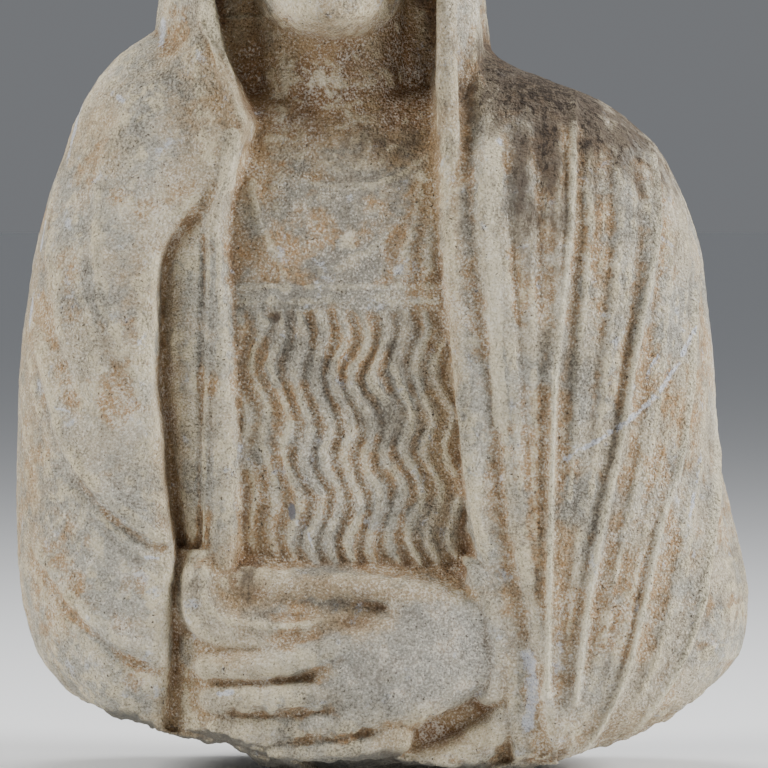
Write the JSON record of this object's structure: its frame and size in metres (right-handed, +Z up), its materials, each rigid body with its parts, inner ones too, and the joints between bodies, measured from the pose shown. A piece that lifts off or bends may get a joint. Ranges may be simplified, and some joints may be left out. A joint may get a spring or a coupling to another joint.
{
  "type": "portrait bust",
  "caption": "Weathered marble bust of a veiled figure in a mantle over a crinkled tunic, one hand laid across the body, cut off below the chest.",
  "frame": {"origin": "middle of the flat patch on the underside that the bust stands on", "axes": "+Z up the figure, -Y the way the face looks, +X to the viewer's right"},
  "size_m": [0.4599, 0.2396, 0.7],
  "materials": {
    "marble": "weathered, fine granular surface with ochre patina in the recesses"
  },
  "bodies": {
    "root": {"bust": "marble"}
  },
  "joints": []
}
